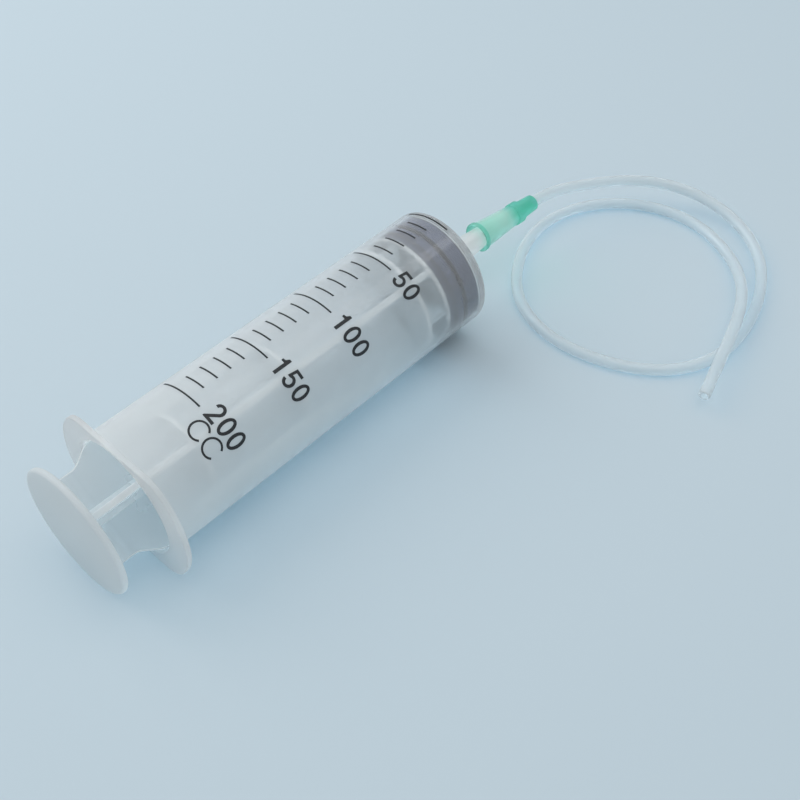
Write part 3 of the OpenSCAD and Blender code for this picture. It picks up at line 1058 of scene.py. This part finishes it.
@dataclass
class PlungerRod:
    """Plunger rod: crossed ribs, guide and stiffening discs, thumb disc and the head in the piston."""

    rod_r: float = 22.3
    rib_t: float = 2.4
    core_r: float = 3.4
    disc_t: float = 1.8
    front: float = -16.2
    guide_pitch: float = 10.0
    stiffener_r: float = 16.0
    stiffeners: tuple[float, float] = (-128.1, -84.1)
    thumb_x: float = -172.1
    thumb_r: float = 25.4
    thumb_t: float = 2.7
    thumb_crown: float = 1.0
    thumb_edge: float = 1.1
    crown_rings: int = 16
    waist_r: float = 17.4
    flare: tuple[float, float] = (-163.1, -152.1)
    flare_steps: int = 14
    # How far the short ribs between the guide discs stay below the discs' rims
    short_gap: float = 0.6
    rib_turn: float = -35.0
    neck_r: float = 14.55
    neck_overlap: float = 0.8
    head_r: float = 16.75
    head: tuple[float, float] = (-12.8, -8.4)
    edge: float = 0.45
    # Share of the thick look on the thumb disc, and how much of an edge counts as a rim that gets the painted
    # highlight
    thumb_blend: float = 0.5
    rim_share: float = 0.7
    # On the rod the thin colour and haze are painted shade on the broad faces, the thick ones a painted highlight
    # on rims and rib edges
    finish: MilkyPolypropylene = MilkyPolypropylene(
        "polypropylene_milky_rod", "#DFE6E9", "#F4F6F6", 0.62, 0.76, 0.25, "#DAE3E7"
    )
    material: Material = field(init=False)

    def rib_half(self, x: float) -> float:
        """Half-width of a rib plate at a place along the axis.

        Args:
            x: Place along the axis.

        Returns:
            The half-width.
        """
        start, end = self.flare
        u = min(max((x - start) / (end - start), 0.0), 1.0)
        return self.waist_r + (self.rod_r - self.waist_r) * u * u * (3 - 2 * u)

    def blend(self, x: float, r: float) -> float:
        """Share of the painted highlight: whole on rims and rib edges, where light gathers, none on the broad
        faces.

        Args:
            x: Place along the axis.
            r: Distance from the axis.

        Returns:
            The share, from 0 to 1.
        """
        if x < self.thumb_x + NEAR_MM:
            return self.thumb_blend
        rims = [self.rib_half(x)]
        rims += [self.stiffener_r for at in self.stiffeners if abs(x - at) < self.disc_t]
        return 1.0 if any(rim - self.edge * self.rim_share < r < rim + self.edge for rim in rims) else 0.0

    def lit_edges(self, rod: Piece) -> None:
        """Writes the painted highlight's share on the finished rod.

        Args:
            rod: The rod.
        """
        back = (Matrix.Scale(MM, 4) @ LYING).inverted()
        layer = rod.data.attributes.new(BLEND, "FLOAT", "POINT")
        for vert in rod.data.vertices:
            place = back @ vert.co
            layer.data[vert.index].value = self.blend(place.x, math.hypot(place.y, place.z))

    def plate_loop(self, x: float, half: float) -> Loop:
        """Section of a rib plate, a bar with rounded ends along Z.

        Args:
            x: Place along the axis.
            half: Half of its width.

        Returns:
            The section's points.
        """
        y, z, e = self.rib_t / 2 - self.edge, half - self.edge, self.edge
        corners = ((y, z, 0), (-y, z, 90), (-y, -z, 180), (y, -z, 270))
        return [Vector((x, *at)) for cy, cz, start in corners for at in arc(cy, cz, e, start, start + 90)]

    def bar(self, name: str, stations: Sequence[tuple[float, float]], turn: float) -> Piece:
        """A rib plate through the given (x, half-width) stations, turned about the axis.

        Args:
            name: Name of the object.
            stations: The stations in order.
            turn: Turn about the axis, in degrees.

        Returns:
            The plate.
        """
        shape = close_ends(skin([self.plate_loop(x, half) for x, half in stations], False))
        place = LYING @ Matrix.Rotation(-math.radians(turn), 4, "X")
        return piece_from_bmesh(name, shape, place, self.material)

    def plate(self, name: str, x: float, t: float, r: float) -> Piece:
        """A disc across the axis, from x on, with a rounded rim.

        Args:
            name: Name of the object.
            x: Where its back face lies.
            t: Its thickness.
            r: Its radius.

        Returns:
            The disc.
        """
        e = self.edge
        profile = arc(x + e, r - e, e, 180, 90) + arc(x + t - e, r - e, e, 90, 0)
        return piece_from_bmesh(name, turned(profile), LYING, self.material)

    def thumb_disc(self) -> Piece:
        """The crowned disc that the thumb presses.

        Returns:
            The disc.
        """
        e, r = self.thumb_edge, self.thumb_r
        back = self.thumb_x - self.thumb_t
        half = r - e
        crown_r = (half**2 + self.thumb_crown**2) / 2 / self.thumb_crown
        top = math.asin(half / crown_r)
        profile = [(self.thumb_x, half)]
        profile += arc(self.thumb_x - e, half, e, 0, 90)[1:]
        profile += arc(back + e, half, e, 90, 180)
        for i in range(1, self.crown_rings + 1):
            a = top * (1 - i / self.crown_rings)
            profile.append((back - self.thumb_crown + crown_r * (1 - math.cos(a)), crown_r * math.sin(a)))
        return piece_from_bmesh("thumb", turned(profile), LYING, self.material)

    def build(self) -> None:
        """Builds the rod's parts and makes one shape of them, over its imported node."""
        self.material = self.finish.material()
        start, end = self.thumb_x - self.thumb_t / 2, self.front - self.disc_t / 2
        steps = range(self.flare_steps + 1)
        flare = [self.flare[0] + (self.flare[1] - self.flare[0]) * i / self.flare_steps for i in steps]
        stations = [(x, self.rib_half(x)) for x in [start, *flare, end]]
        guide_2 = self.front - self.disc_t - self.guide_pitch
        middle, short_half = guide_2 + self.disc_t / 2, self.rod_r - self.short_gap
        short = [(middle, short_half), (middle + self.guide_pitch, short_half)]
        core = [(start, self.core_r), (end, self.core_r)]
        neck = [(end, self.neck_r), (self.head[0] + self.neck_overlap, self.neck_r)]
        parts = [
            self.bar("rib_b", stations, self.rib_turn + 90),
            self.bar("rib_c", short, self.rib_turn + 45),
            self.bar("rib_d", short, self.rib_turn - 45),
            self.plate("guide_1", self.front - self.disc_t, self.disc_t, self.rod_r),
            self.plate("guide_2", guide_2, self.disc_t, self.rod_r),
            piece_from_bmesh("core", turned(core, SMALL_SIDES), LYING, self.material),
            piece_from_bmesh("neck", turned(neck, SMALL_SIDES), LYING, self.material),
            self.plate("head", self.head[0], self.head[1] - self.head[0], self.head_r),
            self.thumb_disc(),
        ]
        for i, x in enumerate(self.stiffeners):
            parts.append(self.plate(f"stiffener_{i}", x - self.disc_t / 2, self.disc_t, self.stiffener_r))
        rod = combine(self.bar("rod_moulding", stations, self.rib_turn), parts, Combining.ADD)
        self.lit_edges(rod)
        hand_over(rod, Body.ROD, Slot.ROD, "plunger_rod")


@dataclass
class FunnelConnector:
    """Soft green funnel that leans on the nozzle, with its rim, collar and the sleeve round the tube."""

    mouth_x: float = 24.4
    collar_x: float = 45.5
    sleeve_x: float = 49.7
    end_x: float = 58.1
    rim_len: float = 2.0
    rim_out: float = 0.45
    edge: float = 0.6
    wall: float = 1.5
    gap: float = 0.5
    lead: float = 0.9
    collar_r: float = 4.65
    sleeve_r: float = 3.35
    sleeve_root: float = 0.5
    lumen_r: float = 1.55
    throat_x: float = 40.9
    throat_len: float = 1.0
    # Small fillets where rim, collar and sleeve rise: how long they are and how high
    fillet: float = 0.3
    rim_fillet: float = 0.15
    collar_fillet: float = 0.12
    sleeve_fillet: float = 0.17
    collar_edge: float = 0.4
    sleeve_edge: float = 0.3
    rim_blend: float = 0.8
    taper: Callable[[float], float] = field(default_factory=lambda: Barrel().nozzle_r)
    finish: SoftVinyl = SoftVinyl("vinyl_green_moulded", "#E4FAF5", "#8AE6D4", 0.35, 0.12, "#DDF6F0")

    def blend(self, x: float, _r: float) -> float:
        """Share of the thick look: most in the rim, collar and sleeve.

        Args:
            x: Place along the axis.
            _r: Distance from the axis, which makes no difference here.

        Returns:
            The share, from 0 to 1.
        """
        if x < self.mouth_x + self.rim_len:
            return self.rim_blend
        return min(max((x - self.throat_x) / (self.collar_x - self.throat_x), 0.0), 1.0)

    def build(self) -> None:
        """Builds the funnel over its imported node."""
        rim = self.taper(self.mouth_x) + self.wall + self.rim_out
        body = self.mouth_x + self.rim_len
        edge, collar_edge, sleeve_edge = self.edge, self.collar_edge, self.sleeve_edge
        profile = [
            (self.mouth_x, self.taper(self.mouth_x) + self.gap + self.lead),
            *arc(self.mouth_x + edge, rim - edge, edge, 180, 90),
            *arc(body - edge, rim - edge, edge, 90, 0),
            (body, self.taper(body) + self.wall + self.rim_fillet),
            (body + self.fillet, self.taper(body) + self.wall),
            (self.throat_x, self.taper(self.throat_x) + self.wall),
            (self.collar_x - self.fillet, self.taper(self.collar_x) + self.wall),
            (self.collar_x, self.taper(self.collar_x) + self.wall + self.collar_fillet),
            *arc(self.collar_x + collar_edge, self.collar_r - collar_edge, collar_edge, 180, 90),
            *arc(self.sleeve_x - collar_edge, self.collar_r - collar_edge, collar_edge, 90, 0),
            (self.sleeve_x, self.sleeve_r + self.sleeve_root + self.sleeve_fillet),
            (self.sleeve_x + self.fillet, self.sleeve_r + self.sleeve_root),
            *arc(self.end_x - sleeve_edge, self.sleeve_r - sleeve_edge, sleeve_edge, 90, 0),
            (self.end_x, self.lumen_r),
            (self.throat_x + self.throat_len, self.lumen_r),
            (self.throat_x, self.taper(self.throat_x) + self.gap),
            (self.mouth_x + self.lead, self.taper(self.mouth_x + self.lead) + self.gap),
        ]
        shape = turned(profile, SMALL_SIDES, True)
        funnel = piece_from_bmesh("funnel_moulding", shape, LEANING, self.finish.material(), self.blend)
        hand_over(funnel, Body.CATHETER, Slot.FUNNEL, "funnel_connector")


# The tube's route in millimetres after it leaves the funnel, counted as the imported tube's is: forwards from the
# funnel's end, sideways from the syringe, and up from where the tube lies on the surface
LAY = (
    (33.5, -8.3, 15.1), (50, -18.2, 12.5), (62.9, -31.5, 8), (67.9, -47.5, 4.5), (64.9, -65, 2),
    (55.4, -80, 0.5), (40.4, -90.5, 0), (22.4, -97.5, 0), (4.4, -100.5, 0), (-12.6, -97, 0),
    (-26.1, -86.5, 0), (-35.1, -70.5, 0), (-39.6, -52, 0), (-38.1, -34.5, 0), (-30.1, -18.5, 0),
    (-16.1, -7, 0), (0.9, 1, 0), (18.9, 2, 0), (35.4, -4.5, 0), (47.9, -16.5, 0), (55.4, -33, 0),
    (55.9, -51, 0), (48.9, -68, 0.5), (37.4, -82, 3), (22.4, -92, 5.3), (5.4, -98.5, 5.3), (-12.1, -104, 5.1),
)


@dataclass
class Catheter:
    """Clear catheter tube along its photographed lay, and its formed tip with two eyes."""

    tube_r: float = 2.35
    bore_r: float = 1.55
    lay_gap: float = 0.15
    exit_x: float = 58.1
    exit_run: float = 12.0
    per_point: int = 12
    tube_sides: int = 32
    tip_sides: int = 40
    tip_len: float = 17.0
    eye_w: float = 2.4
    eye_len: float = 4.0
    eyes: tuple[float, float] = (11.5, 6.0)
    finish: SoftVinyl = SoftVinyl("vinyl_clear_extruded", "#F3F8FA", "#E4EEF2", 0.4, 0.1, "#DFE9EE")
    material: Material = field(init=False)
    tip_place: Matrix = field(init=False)

    def route(self) -> list[Vector]:
        """Points that pull the tube's centreline, from the funnel's end on, in millimetres.

        Returns:
            The points in order.
        """
        leave = LEANING @ Vector((self.exit_x, 0, 0))
        ahead = LEANING.to_3x3() @ Vector((1, 0, 0))
        lay_height = self.tube_r + self.lay_gap
        points = [leave, leave + ahead * self.exit_run]
        return points + [Vector((leave.x + x, y, lay_height + z)) for x, y, z in LAY]

    def centreline(self) -> list[Vector]:
        """Points on the tube's smooth centreline: a uniform cubic spline through the route.

        Returns:
            The points in order.
        """
        pull = self.route()
        pull = [2 * pull[0] - pull[1], *pull, 2 * pull[-1] - pull[-2]]
        line = []
        for i in range(1, len(pull) - 2):
            for k in range(self.per_point):
                f = k / self.per_point
                weights = ((1 - f) ** 3, 3 * f**3 - 6 * f**2 + 4, -3 * f**3 + 3 * f**2 + 3 * f + 1, f**3)
                line.append(sum((pull[i - 1 + n] * w for n, w in enumerate(weights)), Vector()) / 6)
        return line + [pull[-2].copy()]

    def tube_tree(self) -> Tree:
        """Geometry nodes that sweep a round wall along a curve.

        Returns:
            The tree, with named inputs for the radius and the number of sides.
        """
        kinds = {"Geometry": "Geometry", "Radius": "Float", "Sides": "Int", "Finish": "Material"}
        tree, given = geometry_tree("swept_tube", kinds)
        circle = {"Resolution": given["Sides"], "Radius": given["Radius"]}
        section = add_node(tree, "GeometryNodeCurvePrimitiveCircle", circle)
        sweep = {"Curve": given["Geometry"], "Profile Curve": section.outputs["Curve"]}
        swept = add_node(tree, "GeometryNodeCurveToMesh", sweep)
        real = add_node(tree, "GeometryNodeRealizeInstances", {"Geometry": swept.outputs[0]})
        dress = {"Geometry": real.outputs[0], "Material": given["Finish"]}
        dressed = add_node(tree, "GeometryNodeSetMaterial", dress)
        add_node(tree, "NodeGroupOutput", {"Geometry": dressed.outputs[0]})
        return tree

    def build_tube(self, line: list[Vector]) -> Piece:
        """Sweeps the tube's outer wall along its centreline and gives it its bore.

        Args:
            line: Points on the centreline, in millimetres.

        Returns:
            The tube.
        """
        curve = bpy.data.curves.new("catheter_line", "CURVE")
        curve.dimensions = "3D"
        spline = curve.splines.new("POLY")
        spline.points.add(len(line) - 1)
        for point, place in zip(spline.points, line):
            point.co = (*(place * MM), 1)
        source = put_in_scene("catheter_line", curve)
        sweep = source.modifiers.new("sweep", "NODES")
        sweep.node_group = self.tube_tree()
        set_inputs(sweep, {"Radius": self.tube_r * MM, "Sides": self.tube_sides, "Finish": self.material})
        mesh = evaluated(source)
        bpy.data.objects.remove(source)
        bpy.data.curves.remove(curve)
        mesh.name = "catheter_tubing"
        shape = bmesh.new()
        shape.from_mesh(mesh)
        bmesh.ops.recalc_face_normals(shape, faces=shape.faces)
        far = max(shape.faces, key=lambda face: face.calc_center_median().x)
        if far.normal.x < 0:
            bmesh.ops.reverse_faces(shape, faces=shape.faces)
        shape.to_mesh(mesh)
        shape.free()
        tube = put_in_scene("catheter_tubing", mesh)
        wall = tube.modifiers.new("wall", "SOLIDIFY")
        wall.thickness = (self.tube_r - self.bore_r) * MM
        wall.offset = -1
        wall.use_even_offset = True
        return applied(tube)

    def slot_cutter(self, x: float, up: float) -> Piece:
        """A long round-ended cutter from the tip's axis out through one wall.

        Args:
            x: The eye's middle along the tip.
            up: 1 for one wall, -1 for the one across.

        Returns:
            The cutter.
        """
        half, straight = self.eye_w / 2, (self.eye_len - self.eye_w) / 2
        outline = bow(x + straight, 0, half, half, -90, 90, 10) + bow(x - straight, 0, half, half, 90, 270, 10)
        loops = [[Vector((px, py, z * up)) for px, py in outline] for z in (0.0, 2 * self.tube_r)]
        return piece_from_bmesh("eye_cutter", close_ends(skin(loops, False)), self.tip_place, self.material)

    def build_tip(self) -> Piece:
        """Builds the formed tip with its rounded nose, open bore and two eyes.

        Returns:
            The tip.
        """
        nose = self.tube_r - self.bore_r
        profile = [(0.0, self.bore_r), (0.0, self.tube_r)]
        profile += arc(self.tip_len - nose, self.tube_r - nose, nose, 90, 0)
        shape = turned(profile, self.tip_sides, True)
        tip = piece_from_bmesh("catheter_nose", shape, self.tip_place, self.material)
        cutters = [self.slot_cutter(x, up) for x, up in zip(self.eyes, (1, -1))]
        return combine(tip, cutters, Combining.CUT)

    def build(self) -> None:
        self.material = self.finish.material()
        line = self.centreline()
        route = self.route()
        ahead = (route[-1] - route[-2]).normalized()
        side = Vector((0, 0, 1)).cross(ahead).normalized()
        up = ahead.cross(side)
        # The eyes open sideways, along the tip's own Z
        self.tip_place = Matrix.Translation(route[-1]) @ Matrix((ahead, up, -side)).transposed().to_4x4()
        tube = self.build_tube(line)
        tip = self.build_tip()
        hand_over(tube, Body.CATHETER, Slot.TUBE, "catheter_tube")
        hand_over(tip, Body.CATHETER, Slot.TUBE, "catheter_tip")
        length = sum((b - a).length for a, b in zip(line, line[1:])) * MM
        LOG.info("tube is %.4f m long", length)


@dataclass
class Studio:
    """Camera at the photograph's angle, a plain pale floor and soft light."""

    eye: Place = (-0.20800, -0.25280, 0.36142)
    right: Place = (0.69530, -0.71810, -0.02997)
    down: Place = (-0.55132, -0.50614, -0.66322)
    focal_px: float = 1257.76
    picture_px: float = 800.0
    sensor_mm: float = 36.0
    floor_colour: str = "#C3D3DC"
    floor_half: float = 2.0
    lamp_aim: Place = (0.02, -0.02, 0.02)
    # Each lamp's name, place, size in metres and power in watts
    lamps: tuple[tuple[str, Place, float, float], ...] = (
        ("window", (-0.25, 1.05, 1.0), 1.1, 9.0),
        ("ceiling", (0.2, -0.2, 1.5), 1.4, 6.0),
    )
    sky_colour: str = "#F4F8FB"
    sky_strength: float = 0.55

    def camera(self) -> None:
        """Sets the camera up."""
        data = bpy.data.cameras.new("camera")
        data.sensor_width = self.sensor_mm
        data.lens = self.sensor_mm * self.focal_px / self.picture_px
        data.clip_start = 0.01
        right = Vector(self.right).normalized()
        up = -Vector(self.down)
        up = (up - right * up.dot(right)).normalized()
        turned_to = Matrix((right, up, right.cross(up))).transposed()
        camera = put_in_scene("camera", data)
        camera.matrix_world = Matrix.Translation(self.eye) @ turned_to.to_4x4()
        bpy.context.scene.camera = camera

    def floor(self) -> None:
        """Lays the floor."""
        corners = [(x * self.floor_half, y * self.floor_half, 0) for x, y in ((-1, -1), (1, -1), (1, 1), (-1, 1))]
        mesh = bpy.data.meshes.new("floor")
        mesh.from_pydata(corners, [], [(0, 1, 2, 3)])
        # Matt coated paper: it scatters the light evenly, so that nothing mirrors in it
        material = bpy.data.materials.new("matt_paper")
        material.use_nodes = True
        shader = material.node_tree.nodes["Principled BSDF"]
        shader.inputs["Base Color"].default_value = linear(self.floor_colour)
        shader.inputs["Roughness"].default_value = 0.9
        mesh.materials.append(material)
        floor = put_in_scene("floor", mesh)

    def light(self) -> None:
        """Sets up the soft square lamps, which face the object, and the even light around."""
        for name, place, size, power in self.lamps:
            data = bpy.data.lights.new(name, "AREA")
            data.shape = "SQUARE"
            data.size = size
            data.energy = power
            towards = (Vector(self.lamp_aim) - Vector(place)).to_track_quat("-Z", "Y")
            put_in_scene(name, data).matrix_world = Matrix.Translation(place) @ towards.to_matrix().to_4x4()
        world = bpy.data.worlds.new("room")
        world.use_nodes = True
        background = world.node_tree.nodes["Background"]
        background.inputs["Color"].default_value = linear(self.sky_colour)
        background.inputs["Strength"].default_value = self.sky_strength
        bpy.context.scene.world = world

    def build(self) -> None:
        """Sets everything up."""
        self.camera()
        self.floor()
        self.light()
        scene = bpy.context.scene
        scene.view_settings.view_transform = "Standard"
        # Light crosses up to a dozen milky walls on its way through the syringe
        scene.cycles.max_bounces = scene.cycles.transmission_bounces = 24
        scene.cycles.transparent_max_bounces = 32


def main() -> None:
    """Builds the pieces in order."""
    logging.basicConfig(level=logging.INFO, format="%(name)s: %(message)s")
    assemblies: list[Any] = [
        Studio(),
        Catheter(),
        FunnelConnector(),
        Barrel(),
        RubberPiston(),
        PlungerRod(),
        PrintedScale(),
    ]
    for assembly in assemblies:
        assembly.build()
        LOG.info("%s is built", type(assembly).__name__)


if __name__ == "__main__":
    main()
